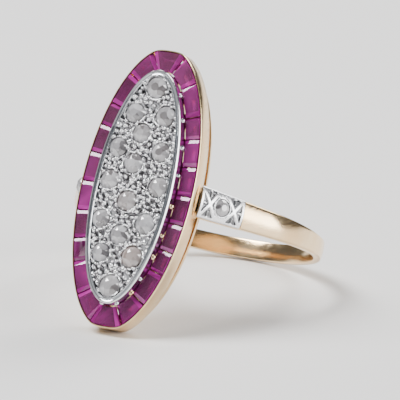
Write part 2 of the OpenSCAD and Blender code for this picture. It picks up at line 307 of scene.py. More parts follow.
class Sheet:
    """One material's node tree, built a node at a time."""

    def __init__(self, name: str) -> None:
        """Starts an empty material with its output and main shader."""
        self.material = bpy.data.materials.new(name)
        self.material.use_nodes = True
        self.tree = self.material.node_tree
        self.tree.nodes.clear()
        self.output = self.add("ShaderNodeOutputMaterial")
        self.shader = self.add("ShaderNodeBsdfPrincipled")
        self.tree.links.new(self.shader.outputs["BSDF"], self.output.inputs["Surface"])
        self.place = self.add("ShaderNodeTexCoord").outputs["Object"]

    def add(self, kind: str, **settings: object) -> bpy.types.Node:
        """Adds a node and sets its properties."""
        node = self.tree.nodes.new(kind)
        for key, value in settings.items():
            setattr(node, key, value)
        return node

    def plug(self, node: bpy.types.Node, **inputs: object) -> bpy.types.Node:
        """Sets a node's inputs by name, with underscores for spaces, from values or sockets."""
        for key, value in inputs.items():
            socket = node.inputs[key.replace("_", " ")]
            if isinstance(value, bpy.types.NodeSocket):
                self.tree.links.new(value, socket)
            else:
                socket.default_value = value
        return node

    def noise(
        self, scale: float, detail: float = 4.0, stretch: Sequence[float] = (1, 1, 1)
    ) -> bpy.types.NodeSocket:
        """Noise on object coordinates.

        Args:
            scale: cells in a millimetre.
            detail: octaves of detail.
            stretch: how much finer the pattern runs along each axis.

        Returns:
            The noise value's socket.
        """
        mapping = self.add("ShaderNodeMapping")
        self.plug(mapping, Vector=self.place, Scale=[s / MILLIMETRE for s in stretch])
        node = self.add("ShaderNodeTexNoise")
        self.plug(node, Vector=mapping.outputs["Vector"], Scale=scale, Detail=detail)
        return node.outputs["Fac"]

    def span(
        self, value: bpy.types.NodeSocket, low: float, high: float, to_low: float, to_high: float
    ) -> bpy.types.NodeSocket:
        """Maps a value from one range to another, clamped."""
        node = self.add("ShaderNodeMapRange")
        self.plug(node, Value=value, From_Min=low, From_Max=high, To_Min=to_low, To_Max=to_high)
        return node.outputs["Result"]

    def blend(self, factor: bpy.types.NodeSocket, first: object, second: object) -> bpy.types.NodeSocket:
        """Mixes two colours by a factor."""
        node = self.add("ShaderNodeMix", data_type="RGBA")
        self.tree.links.new(factor, node.inputs[0])
        for socket, value in ((node.inputs[6], first), (node.inputs[7], second)):
            if isinstance(value, bpy.types.NodeSocket):
                self.tree.links.new(value, socket)
            else:
                socket.default_value = (*value, 1.0)
        return node.outputs[2]

    def attribute(self, name: str) -> bpy.types.NodeSocket:
        """Reads a value painted on the mesh."""
        return self.add("ShaderNodeAttribute", attribute_name=name).outputs["Fac"]

    def crevice(self, reach: float) -> bpy.types.NodeSocket:
        """How open a point is to its surroundings, from 0 in a corner to 1 in the open."""
        node = self.add("ShaderNodeAmbientOcclusion", samples=8)
        self.plug(node, Distance=reach * MILLIMETRE)
        return node.outputs["AO"]

    def relief(self, height: bpy.types.NodeSocket, depth: float) -> None:
        """Adds a fine bump to the main shader, with its depth in millimetres."""
        node = self.add("ShaderNodeBump")
        self.plug(node, Height=height, Strength=1.0, Distance=depth * MILLIMETRE)
        self.tree.links.new(node.outputs["Normal"], self.shader.inputs["Normal"])


@dataclass(frozen=True)
class WornMetal:
    """Polished metal with soft colour patches, fine scratches and painted shade that darkens its corners and
    crevices.
    """

    name: str
    bright: tuple[float, float, float]
    deep: tuple[float, float, float]
    # the colour of the painted shade in corners and crevices
    painted_shade: tuple[float, float, float]
    rough_low: float
    rough_high: float
    painted_shade_reach: float = 0.2
    painted_shade_most: float = 1.0

    def make(self) -> bpy.types.Material:
        """Builds the material."""
        sheet = Sheet(self.name)
        patches = sheet.span(sheet.noise(0.5, 5.0), 0.35, 0.7, 0.0, 1.0)
        tone = sheet.blend(patches, self.bright, self.deep)
        # painted shade: the tone is darkened toward the shade colour in corners and crevices that ambient
        # occlusion finds
        corner = sheet.span(sheet.crevice(self.painted_shade_reach), 0.15, 0.6, self.painted_shade_most, 0.0)
        colour = sheet.blend(corner, tone, self.painted_shade)
        wear = sheet.noise(2.6, 6.0, (0.4, 1.0, 2.4))
        sheet.plug(sheet.shader, Base_Color=colour, Metallic=1.0)
        sheet.plug(sheet.shader, Roughness=sheet.span(wear, 0.3, 0.75, self.rough_low, self.rough_high))
        sheet.relief(sheet.noise(14.0, 3.0, (0.15, 0.8, 1.6)), 0.004)
        return sheet.material


@dataclass(frozen=True)
class GrainedMetal:
    """Bright-cut metal with painted shade in its hollows, so that the grains stand out."""

    name: str
    bright: tuple[float, float, float]
    deep: tuple[float, float, float]
    # the colour of the painted shade in the hollows
    hollow: tuple[float, float, float]
    rough_low: float = 0.14
    rough_high: float = 0.3

    def make(self) -> bpy.types.Material:
        """Builds the material."""
        sheet = Sheet(self.name)
        patches = sheet.span(sheet.noise(1.4, 4.0), 0.35, 0.7, 0.0, 1.0)
        tone = sheet.blend(patches, self.bright, self.deep)
        # painted shade: the tone darkens toward the shade colour by the value painted on the mesh for its
        # hollows
        colour = sheet.blend(sheet.attribute("hollow"), tone, self.hollow)
        sheet.plug(sheet.shader, Base_Color=colour, Metallic=1.0)
        wear = sheet.noise(6.0, 4.0)
        sheet.plug(sheet.shader, Roughness=sheet.span(wear, 0.3, 0.7, self.rough_low, self.rough_high))
        sheet.relief(sheet.noise(9.0, 3.0), 0.004)
        return sheet.material


@dataclass(frozen=True)
class CutStone:
    """A clear stone whose facets carry painted reflections standing in for the light inside it, with faint
    clouds and a polished surface.
    """

    name: str
    light: tuple[float, float, float]
    dark: tuple[float, float, float]
    warm: tuple[float, float, float]
    index: float
    transmission: float
    rough: float
    cloud_scale: float
    shine: float = 0.5

    def make(self) -> bpy.types.Material:
        """Builds the material."""
        sheet = Sheet(self.name)
        clouds = sheet.span(sheet.noise(self.cloud_scale, 3.0), 0.3, 0.7, 0.0, 0.35)
        # painted reflection: each facet's colour runs from dark to light by its painted value, in place of
        # the light that bounces inside the stone
        facet = sheet.blend(sheet.attribute("painted_reflection"), self.dark, self.light)
        tinted = sheet.blend(sheet.attribute("warmth"), facet, self.warm)
        sheet.plug(
            sheet.shader,
            Base_Color=sheet.blend(clouds, tinted, self.dark),
            Transmission_Weight=self.transmission,
            Roughness=self.rough,
            IOR=self.index,
            Specular_IOR_Level=self.shine,
        )
        return sheet.material


@dataclass(frozen=True)
class Plain:
    """The studio floor's even matt paint."""

    name: str
    tone: tuple[float, float, float]

    def make(self) -> bpy.types.Material:
        """Builds the material."""
        sheet = Sheet(self.name)
        sheet.plug(sheet.shader, Base_Color=(*self.tone, 1.0), Roughness=0.6)
        return sheet.material


class Finishes:
    """Every material, made once."""

    def __init__(self) -> None:
        """Builds the finishes of the ring and the floor."""
        # Each worn metal's third colour is the painted shade of its corners and crevices.
        self.gold = WornMetal(
            "gold", (1.0, 0.76, 0.46), (0.92, 0.62, 0.32), (0.08, 0.035, 0.015), 0.10, 0.26,
            painted_shade_most=0.85,
        ).make()
        self.platinum = WornMetal(
            "platinum", (0.90, 0.92, 0.94), (0.80, 0.82, 0.85), (0.16, 0.16, 0.18), 0.08, 0.24,
            painted_shade_most=0.25,
        ).make()
        # The grained and engraved metals' third colours are painted shade for their hollows.
        self.grained = GrainedMetal(
            "grained_platinum", (0.93, 0.93, 0.94), (0.80, 0.80, 0.82), (0.28, 0.27, 0.28)
        ).make()
        self.engraved = GrainedMetal(
            "engraved_white_metal", (0.92, 0.92, 0.93), (0.82, 0.82, 0.84), (0.03, 0.03, 0.035)
        ).make()
        # The stones' light and dark colours are the two ends of their facets' painted reflections.
        self.ruby = CutStone(
            "ruby", (0.86, 0.05, 0.60), (0.13, 0.005, 0.07), (0.75, 0.30, 0.50), 1.77, 0.5, 0.04, 0.7, 0.25
        ).make()
        self.diamond = CutStone(
            "diamond", (0.92, 0.92, 0.95), (0.16, 0.15, 0.16), (0.62, 0.46, 0.38), 2.4, 0.35, 0.04, 0.9
        ).make()
        self.floor = Plain("studio_floor", (0.80, 0.79, 0.78)).make()


@dataclass
class Band:
    """The tapering band: a circle with two straight arms that rise to the head. Millimetres."""

    bore_r: float = 8.5
    thick: float = 0.6
    width_back: float = 1.4
    width_head: float = 2.2
    taper_back: float = 2.1
    dome_r: float = 3.0
    arm_angle: float = math.radians(60)
    bore_angle: float = math.radians(44)
    under_r: float = 8.8
    rail_height: float = 0.3
    head_half_width: float = 4.46
    arm_end_gap: float = 0.34
    foot_across: float = 4.06
    end_in_wall: float = 0.08
    cap_length: float = 3.7
    cap_thick: float = 0.35
    fit_gap: float = 0.03
    edge_outer: float = 0.12
    edge_inner: float = 0.09
    circle_stations: int = 64
    arm_stations: int = 44
    dome_points: int = 11

    @property
    def outer_r(self) -> float:
        """Distance of the band's crest from the finger hole's centre."""
        return self.bore_r + self.thick

    @property
    def arm_run(self) -> float:
        """Length of the arm's straight outside."""
        end = self.head_half_width + self.arm_end_gap
        return (self.outer_r * math.sin(self.arm_angle) - end) / math.cos(self.arm_angle)

    @property
    def end_run(self) -> float:
        """How far along the arm its end lies under the cap, a little inside the wall."""
        under_cap = self.outer_r - self.cap_thick - self.fit_gap
        rise = under_cap * math.sin(self.arm_angle) - self.head_half_width + self.end_in_wall
        return rise / math.cos(self.arm_angle)

    def half_width(self, outward: float) -> float:
        """Half the band's width at a distance toward the head."""
        full = self.under_r + self.rail_height / 2 + self.taper_back
        share = max(0.0, outward + self.taper_back) / full
        return (self.width_back + (self.width_head - self.width_back) * share) / 2

    def _on_arm(self, outward: float, across: float) -> tuple[float, float]:
        """Turns a point of the ring's plane into the arm's run and distance out."""
        c, s = math.cos(self.arm_angle), math.sin(self.arm_angle)
        return outward * s - across * c, outward * c + across * s

    def inside_on_arm(self, run: float) -> float:
        """Distance out of the arm's inside at a run along it."""
        bore = self.bore_r
        start = self._on_arm(bore * math.cos(self.bore_angle), bore * math.sin(self.bore_angle))
        foot = self._on_arm(self.under_r, self.foot_across)
        if run < start[0]:
            return math.sqrt(bore**2 - run**2)
        return start[1] + (foot[1] - start[1]) * (run - start[0]) / (foot[0] - start[0])

    def section(self, half: float, inner: float, outer: float) -> list[tuple[float, float]]:
        """The band's closed cross-section, with a domed outside and softened edges.

        Args:
            half: half its width.
            inner: its inside's distance out.
            outer: its crest's distance out.

        Returns:
            Pairs of distance out and place across, the last the same as the first.
        """
        eo, ei = self.edge_outer, self.edge_inner
        drop = half**2 / (2 * self.dome_r)
        crown = [
            (outer - (half - eo * 0.3) ** 2 * x * x / (2 * self.dome_r), x * (half - eo * 0.3))
            for x in np.linspace(-0.94, 0.94, self.dome_points)
        ]
        left = [(inner, -(half - ei)), (inner + 0.3 * ei, -(half - 0.3 * ei)), (inner + ei, -half)]
        left += [(outer - drop - eo, -half), (outer - drop - 0.35 * eo, -(half - 0.25 * eo))]
        right = [(n, -v) for n, v in reversed(left)]
        return [(inner, 0.0), *left, *crown, *right, (inner, 0.0)]

    def station(
        self, place: float
    ) -> tuple[list[tuple[float, float]], Callable[[float], tuple[float, float]]]:
        """One cross-section and how its distances out fall in the ring's plane.

        Args:
            place: below 0 an angle back from the arm's start in radians, above 0 a share of the arm.

        Returns:
            The section, and a function from distance out to the ring's plane.
        """
        if place <= 0:
            angle = self.arm_angle - place
            c, s = math.cos(angle), math.sin(angle)
            half = self.half_width(self.outer_r * c)
            return self.section(half, self.bore_r, self.outer_r), lambda out: (out * c, out * s)
        c, s = math.cos(self.arm_angle), math.sin(self.arm_angle)
        foot_run = self._on_arm(self.under_r, self.foot_across)[0]
        end_run = self.end_run
        run = place * end_run
        inner = self.inside_on_arm(place * foot_run)
        recess = self.cap_thick + self.fit_gap if run > self.arm_run - self.cap_length - self.fit_gap else 0.0
        outer = self.outer_r - recess
        half = self.half_width(self.outer_r * c + run * s)

        def fall(out: float) -> tuple[float, float]:
            """Places a distance out, with the arm's end leaning back to its foot."""
            share = (out - inner) / (outer - inner)
            here = place * (foot_run + (end_run - foot_run) * share)
            return out * c + here * s, out * s - here * c

        return self.section(half, inner, outer), fall

    def build(self, axes: RingAxes, finishes: Finishes) -> None:
        """Models one half on a grid, mirrors it and seats it."""
        step = (self.arm_run - self.cap_length - self.fit_gap) / self.end_run
        arm = sorted([*np.linspace(0, 1, self.arm_stations + 1)[1:], step - 1e-4, step + 1e-4])
        places = [*np.linspace(-(math.pi - self.arm_angle), 0, self.circle_stations + 1), *arm]
        rows = []
        for place in places:
            section, fall = self.station(place)
            rows.append([(*fall(out), across) for out, across in section])
        rows = np.array(rows)
        count = rows.shape[1]
        piece = Bench.grid("gold_band", count - 1, len(places) - 1)
        grid = Bench.points(piece)
        column = np.rint(grid[:, 0] * (count - 1)).astype(int)
        row = np.rint(grid[:, 1] * (len(places) - 1)).astype(int)
        Bench.move_points(piece, rows[row, column])
        Bench.tidy(piece, 0.0005)
        Bench.modifier(
            piece, "MIRROR", use_axis=(False, True, False), use_mirror_merge=True, merge_threshold=0.001
        )
        Bench.close(piece, 0.0005)
        Bench.smooth(piece, 40)
        Bench.seat(piece, axes.ring(), finishes.gold, Slot.GOLD)


@dataclass
class Oval:
    """An oval given by its half sizes across and along, and the flat across each end."""

    across: float
    along: float
    flat: float = 0.0

    def inset(self, by: float) -> Oval:
        """The same oval drawn in by a distance at its four ends."""
        return Oval(self.across - by, self.along - by, self.flat)

    @property
    def whole(self) -> float:
        """Half the length of the whole oval that the blunt ends are cut from."""
        return self.along / math.sqrt(1 - (self.flat / 2 / self.across) ** 2)


def blunt(piece: bpy.types.Object, rings: Sequence[Oval], segments: int, soft: float = 0.3) -> None:
    """Blunts the ends of stacked rings of vertices, with rounded corners.

    Args:
        piece: the mesh, with its vertices in the rings' order.
        rings: the oval of each ring.
        segments: vertices in a ring.
        soft: the length over which an end turns into its flat.
    """
    places = Bench.points(piece)
    for k, oval in enumerate(rings):
        if not oval.flat:
            continue
        ring = slice(k * segments, (k + 1) * segments)
        far = np.abs(places[ring, 1])
        turn = np.clip(soft - np.abs(far - oval.along), 0, None) / soft
        places[ring, 1] = np.sign(places[ring, 1]) * (np.minimum(far, oval.along) - turn**2 * soft / 4)
    Bench.move_points(piece, places)


def sweep_oval(name: str, corners: Sequence[tuple[Oval, float]], segments: int = 240) -> bpy.types.Object:
    """Models a ring of metal by extruding an oval from corner to corner of its section.

    Args:
        name: the piece's name.
        corners: the oval and the level of each corner, in order round the section.
        segments: corners round the oval.

    Returns:
        The closed ring.
    """
    Bench.clear()
    bpy.ops.mesh.primitive_circle_add(vertices=segments, radius=1.0, fill_type="NOTHING")
    piece = Bench.named(name)
    Bench.edit(piece)
    here, level = corners[0]
    bpy.ops.transform.resize(value=(here.across, here.whole, 1.0), center_override=(0, 0, 0))
    bpy.ops.transform.translate(value=(0, 0, level))
    for oval, height in [*corners[1:], corners[0]]:
        bpy.ops.mesh.extrude_region_move(TRANSFORM_OT_translate={"value": (0, 0, height - level)})
        growth = (oval.across / here.across, oval.whole / here.whole, 1.0)
        bpy.ops.transform.resize(value=growth, center_override=(0, 0, height))
        here, level = oval, height
    Bench.leave()
    blunt(piece, [oval for oval, _ in [*corners, corners[0]]], segments)
    Bench.tidy(piece, 0.0005)
    return piece


def oval_block(name: str, oval: Oval, low: float, high: float, segments: int = 192) -> bpy.types.Object:
    """Models a solid oval disc.

    Args:
        name: the piece's name.
        oval: its outline.
        low: its lower level.
        high: its upper level.
        segments: corners round it.

    Returns:
        The closed disc.
    """
    Bench.clear()
    bpy.ops.mesh.primitive_cylinder_add(
        vertices=segments, radius=1.0, depth=high - low, location=(0, 0, (low + high) / 2)
    )
    block = Bench.named(name)
    block.scale = (oval.across, oval.whole, 1.0)
    bpy.ops.object.transform_apply(location=True, rotation=True, scale=True)
    blunt(block, [oval], len(block.data.vertices))
    return block


@dataclass
class StonePlace:
    """Where a stone sits on the head: across, along and its radius."""

    across: float
    along: float
    radius: float


def stone_places(frame: dict, axes: RingAxes, prefix: str) -> list[StonePlace]:
    """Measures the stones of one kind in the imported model, on the head's axes.

    Args:
        frame: the loaded frame.
        axes: the ring's axes.
        prefix: how their nodes' names start.

    Returns:
        A place for each stone, in the order of their names.
    """
    back = axes.head().inverted()
    found = []
    for name in sorted(n for n in frame["nodes"] if n.startswith(prefix)):
        local = np.array([back @ v.co for v in frame["nodes"][name].data.vertices])
        low, high = local.min(0), local.max(0)
        middle = (low + high) / 2
        found.append(StonePlace(middle[0], middle[1], (high[0] - low[0]) / 2))
    return found


@dataclass
class HeadSetting:
    """The gold of the head: rail, groove, wall with its lip, core and pierced back. Millimetres."""

    lip: Oval = field(default_factory=lambda: Oval(4.46, 10.15, 1.7))
    rail: Oval = field(default_factory=lambda: Oval(4.46, 9.6, 1.7))
    plate: Oval = field(default_factory=lambda: Oval(3.13, 8.55))
    under: float = 8.8
    groove_low: float = 9.1
    wall_low: float = 9.37
    floor: float = 9.65
    lip_top: float = 10.7
    plate_low: float = 10.85
    wall_thick: float = 0.12
    groove_deep: float = 0.3
    core_inset: float = 0.1
    pocket_wall: float = 0.45
    backing: float = 0.5
    fit_gap: float = 0.03
    hole_r: float = 0.4
    hole_wall: float = 0.12
    drill_share: float = 0.6
    edge: float = 0.06

    def wall(self) -> bpy.types.Object:
        """The outer wall, thinned to a fine lip that is rubbed over the rubies' edge."""
        lip, e, thin = self.lip, self.edge, self.wall_thick
        return sweep_oval("wall", [
            (lip.inset(e * 0.5), self.wall_low),
            (lip, self.wall_low + e),
            (lip, self.lip_top - 2.4 * e),
            (lip.inset(0.012), self.lip_top - e),
            (lip.inset(0.03), self.lip_top - 0.25 * e),
            (lip.inset(0.045), self.lip_top),
            (lip.inset(0.095), self.lip_top),
            (lip.inset(thin - 0.01), self.lip_top - e),
            (lip.inset(thin), self.lip_top - 2.4 * e),
            (lip.inset(thin), self.floor - e),
            (lip.inset(self.groove_deep + thin), self.floor - e),
            (lip.inset(self.groove_deep + thin), self.wall_low),
        ])

    def gallery(self) -> bpy.types.Object:
        """The round-edged gallery rail and the groove above it."""
        rail, e = self.rail, self.edge
        inner = rail.inset(self.groove_deep)
        return sweep_oval("gallery", [
            (inner.inset(0.3), self.under),
            (rail.inset(e), self.under),
            (rail.inset(e * 0.3), self.under + 0.3 * e),
            (rail, self.under + e),
            (rail, self.groove_low - e),
            (rail.inset(e * 0.3), self.groove_low - 0.3 * e),
            (rail.inset(e), self.groove_low),
            (inner, self.groove_low),
            (inner, self.wall_low + e),
            (inner.inset(0.3), self.wall_low + e),
        ])

    def body(self, diamonds: Sequence[StonePlace], rubies: Sequence[StonePlace]) -> bpy.types.Object:
        """The floor and the core, hollow under the plate's backing and pierced behind every stone.

        Args:
            diamonds: the stones of the plate.
            rubies: the stones of the border.

        Returns:
            The pierced body.
        """
        outline = self.rail.inset(self.groove_deep)
        core = self.plate.inset(self.core_inset)
        core_top = self.plate_low - self.fit_gap
        solid = oval_block("body", outline, self.under, self.floor)
        raised = oval_block("core", core, self.under + self.edge, core_top)
        Bench.modifier(solid, "BOOLEAN", operation="UNION", object=raised, solver="EXACT")
        bpy.data.objects.remove(raised)
        room = outline.inset(self.hole_r + self.hole_wall)
        holes = [(d.across, d.along, d.radius * self.drill_share) for d in diamonds]
        for ruby in rubies:
            reach = math.hypot(ruby.across / room.across, ruby.along / room.whole)
            pull = 1 / max(1.0, reach)
            limit = room.along
            along = max(-limit, min(limit, ruby.along * pull))
            holes.append((ruby.across * pull, along, self.hole_r))
        pocket_top = core_top - self.backing
        cutters = [oval_block("pocket", core.inset(self.pocket_wall), self.under - 1, pocket_top)]
        for number, (across, along, radius) in enumerate(holes):
            high = core_top + 1 if number < len(diamonds) else self.floor + 1
            Bench.clear()
            bpy.ops.mesh.primitive_cylinder_add(
                vertices=28, radius=radius, depth=high - self.under + 1,
                location=(across, along, (high + self.under - 1) / 2),
            )
            cutters.append(Bench.named("drill"))
        for cutter in cutters:
            Bench.pick(cutter)
            bpy.ops.object.transform_apply(location=True, rotation=True, scale=True)
            Bench.modifier(solid, "BOOLEAN", operation="DIFFERENCE", object=cutter, solver="EXACT")
            bpy.data.objects.remove(cutter)
        Bench.bevel(solid, 0.035, 2)
        return solid

    def build(
        self, axes: RingAxes, finishes: Finishes, diamonds: list[StonePlace], rubies: list[StonePlace]
    ) -> None:
        """Models the head's gold and seats it."""
        piece = Bench.join("gold_head", [self.wall(), self.gallery(), self.body(diamonds, rubies)])
        Bench.smooth(piece, 35)
        Bench.seat(piece, axes.head(), finishes.gold, Slot.GOLD, ["gold_mount"])


@dataclass
class GrainPlate:
    """The platinum plate: a plain rim with a fine line, and the grained field between the diamonds."""

    outline: Oval = field(default_factory=lambda: Oval(3.13, 8.55))
    low: float = 10.85
    top: float = 11.45
    skirt_low: float = 10.2
    skirt_thick: float = 0.05
    rim: float = 0.24
    line: float = 0.08
    bead: float = 0.1
    slope: float = 0.22
    cell: float = 0.04
    bed: float = -0.3
    seat: float = -0.46
    seed: int = 11
    grain_small: float = 0.14
    grain_large: float = 0.26
    tries: int = 9000
    core_clear: float = 0.08
    claw_angles: tuple[float, ...] = (55, 38, 23, 9, 312, 283, 262, 243, 215, 188, 172, 156, 122)
    solder_angles: tuple[float, ...] = (354, 339, 327, 300)

    def rim_ring(self) -> bpy.types.Object:
        """The smooth rim with the fine line cut inside it, and the thin skirt that hides the gold core."""
        out, e = self.outline, 0.05
        line = out.inset(self.rim)
        bead = line.inset(self.line)
        inner = bead.inset(self.bead)
        inside = out.inset(self.core_clear)
        return sweep_oval("plate_rim", [
            (inside.inset(-self.skirt_thick), self.skirt_low),
            (inside.inset(-self.skirt_thick), self.low),
            (out, self.low + 0.03),
            (out, self.top - self.slope),
            (out.inset(0.25 * e), self.top - 0.6 * self.slope),
            (out.inset(0.9 * e), self.top - 0.2 * self.slope),
            (out.inset(1.8 * e), self.top),
            (line.inset(-0.03), self.top),
            (line, self.top - 0.02),
            (line.inset(0.02), self.top - self.line),
            (bead.inset(-0.02), self.top - self.line),
            (bead, self.top - 0.02),
            (bead.inset(0.03), self.top),
            (inner.inset(-0.03), self.top),
            (inner, self.top - 0.03),
            (inner.inset(0.02), self.top - 0.3),
            (inner.inset(0.02), self.low),
            (inside, self.low),
            (inside, self.skirt_low),
        ])

    def scatter(self, stones: Sequence[StonePlace]) -> np.ndarray:
        """Scatters grains over the field, close together but apart from the stones.

        Args:
            stones: the diamonds.

        Returns:
            Rows of across, along, radius and height above the bed.
        """
        rng = np.random.default_rng(self.seed)
        room = self.outline.inset(self.rim + self.line + self.bead - 0.02)
        grains: list[tuple[float, float, float, float]] = []
        for stone in stones:
            start = rng.uniform(0, 2 * math.pi)
            claws = int(rng.integers(4, 6))
            for k in range(claws):
                angle = start + (k + rng.uniform(-0.25, 0.25)) * 2 * math.pi / claws
                size = rng.uniform(0.15, 0.2)
                reach = stone.radius + rng.uniform(0.3, 0.6) * size
                x = stone.across + reach * math.cos(angle)
                y = stone.along + reach * math.sin(angle)
                if math.hypot(x / room.across, y / room.along) < 1.02:
                    grains.append((x, y, size, -self.bed + rng.uniform(0.02, 0.09)))
        made = np.array(grains)
        for _ in range(self.tries):
            x = rng.uniform(-room.across, room.across)
            y = rng.uniform(-room.along, room.along)
            size = rng.uniform(self.grain_small, self.grain_large)
            if math.hypot(x / room.across, y / room.along) > 1:
                continue
            if any(math.hypot(x - s.across, y - s.along) < s.radius + size * 0.75 for s in stones):
                continue
            if (np.hypot(made[:, 0] - x, made[:, 1] - y) < 0.8 * (made[:, 2] + size)).any():
                continue
            height = -self.bed + rng.uniform(-0.08, 0.06)
            made = np.vstack([made, (x, y, size, height)])
        return made

    def heights(self, x: np.ndarray, y: np.ndarray, stones: Sequence[StonePlace]) -> np.ndarray:
        """Height of the field above the plate's top at every grid point.

        Args:
            x: places across, on a regular grid.
            y: places along, on the same grid.
            stones: the diamonds.

        Returns:
            The heights, with seats sunk for the stones and a dome for each grain.
        """
        rng = np.random.default_rng(self.seed + 1)
        z = self.bed + 0.04 * np.sin(9.1 * x + 4 * np.sin(5.3 * y)) * np.cos(8.3 * y)
        for stone in stones:
            away_x, away_y = x - stone.across, y - stone.along
            gap = np.hypot(away_x, away_y) - stone.radius
            angle = np.arctan2(away_y, away_x)
            tall = 0.17 + 0.06 * np.sin(3 * angle + 7 * stone.across) + 0.03 * np.sin(5 * angle + stone.along)
            collar = np.clip(1 - ((gap - 0.11) / 0.08) ** 2, 0, 1)
            z = np.maximum(z, np.where(collar > 0, self.bed + tall * np.sqrt(collar), z))
            z = np.where(gap < 0.035, self.seat, z)
        for across, along, size, tall in self.scatter(stones):
            near = (np.abs(x - across) < 1.3 * size) & (np.abs(y - along) < 1.3 * size)
            turn = rng.uniform(0, math.pi)
            squeeze = rng.uniform(0.72, 1.0)
            u = (x[near] - across) * math.cos(turn) + (y[near] - along) * math.sin(turn)
            v = -(x[near] - across) * math.sin(turn) + (y[near] - along) * math.cos(turn)
            lean = rng.uniform(-0.4, 0.4)
            share = 1 - (u / size) ** 2 - (v / (size * squeeze)) ** 2
            dome = self.bed + tall * np.sqrt(np.clip(share, 0, 1)) * (1 + lean * u / size)
            z[near] = np.where(share > 0, np.maximum(z[near], dome), z[near])
        return z

    def grain_field(self, stones: Sequence[StonePlace]) -> bpy.types.Object:
        """The field between the stones, raised in grains and cut away between them."""
        reach = self.outline.inset(self.rim + self.line + self.bead - 0.02)
        columns = round(2 * reach.across / self.cell)
        rows = round(2 * reach.along / self.cell)
        piece = Bench.grid("grain_field", columns, rows)
        places = Bench.points(piece)
        x = (places[:, 0] * 2 - 1) * reach.across
        y = (places[:, 1] * 2 - 1) * reach.along
        z = self.heights(x, y, stones)
        Bench.move_points(piece, np.stack([x, y, self.top + z], 1))
        # painted shade: the field is painted darker the lower it lies below the grains
        hollow = piece.data.attributes.new("hollow", "FLOAT", "POINT")
        hollow.data.foreach_set("value", np.clip((-0.1 - z) / 0.2, 0, 1).astype(np.float32))
        outside = np.hypot(x / reach.across, y / reach.along) > 1
        Bench.edit(piece, "DESELECT")
        Bench.leave()
        piece.data.vertices.foreach_set("select", outside)
        Bench.edit_chosen(piece)
        bpy.ops.mesh.delete(type="VERT")
        bpy.ops.mesh.select_all(action="DESELECT")
        bpy.ops.mesh.select_non_manifold(extend=False)
        bpy.ops.mesh.extrude_region_move(TRANSFORM_OT_translate={"value": (0, 0, -0.2)})
        bpy.ops.mesh.fill_holes(sides=0)
        Bench.leave()
        Bench.smooth(piece, 75)
        return piece

    def nubs(self, name: str, angles: Sequence[float], reach: float, drop: float) -> bpy.types.Object:
        """Small irregular nubs of metal against the plate's side, over the rubies' inner edges.

        Args:
            name: the piece's name.
            angles: their places round the plate, in degrees.
            reach: their usual size.
            drop: how far their middles lie below the plate's top.

        Returns:
            All the nubs in one mesh.
        """
        rng = np.random.default_rng(self.seed + len(angles))
        made = []
        for degrees in angles:
            angle = math.radians(degrees)
            x, y = self.outline.across * math.cos(angle), self.outline.along * math.sin(angle)
            facing = math.atan2(y / self.outline.along**2, x / self.outline.across**2)
            Bench.clear()
            bpy.ops.mesh.primitive_cube_add(size=1.0)
            nub = Bench.named("nub")
            Bench.edit(nub)
            spans = ((0.8, 1.1), (0.9, 1.6), (1, 1.5))
            bpy.ops.transform.resize(value=[reach * rng.uniform(*span) for span in spans])
            bpy.ops.mesh.subdivide(number_cuts=2, smoothness=0.7)
            bpy.ops.transform.rotate(value=-facing, orient_axis="Z", center_override=(0, 0, 0))
            bpy.ops.transform.translate(value=(x, y, self.top - drop - rng.uniform(0, 0.08)))
            Bench.leave()
            made.append(nub)
        piece = Bench.join(name, made)
        Bench.smooth(piece, 60)
        return piece

    def build(self, axes: RingAxes, finishes: Finishes, diamonds: list[StonePlace]) -> None:
        """Models the plate and seats its pieces."""
        rim = self.rim_ring()
        Bench.smooth(rim, 35)
        Bench.seat(rim, axes.head(), finishes.platinum, Slot.PLATINUM, ["platinum_plate"])
        Bench.seat(self.grain_field(diamonds), axes.head(), finishes.grained, Slot.PLATINUM)
        claws = self.nubs("ruby_claws", self.claw_angles, 0.19, 0.5)
        Bench.seat(claws, axes.head(), finishes.platinum, Slot.PLATINUM)
        solder = self.nubs("solder_spots", self.solder_angles, 0.2, 0.58)
        Bench.seat(solder, axes.head(), finishes.gold, Slot.GOLD)


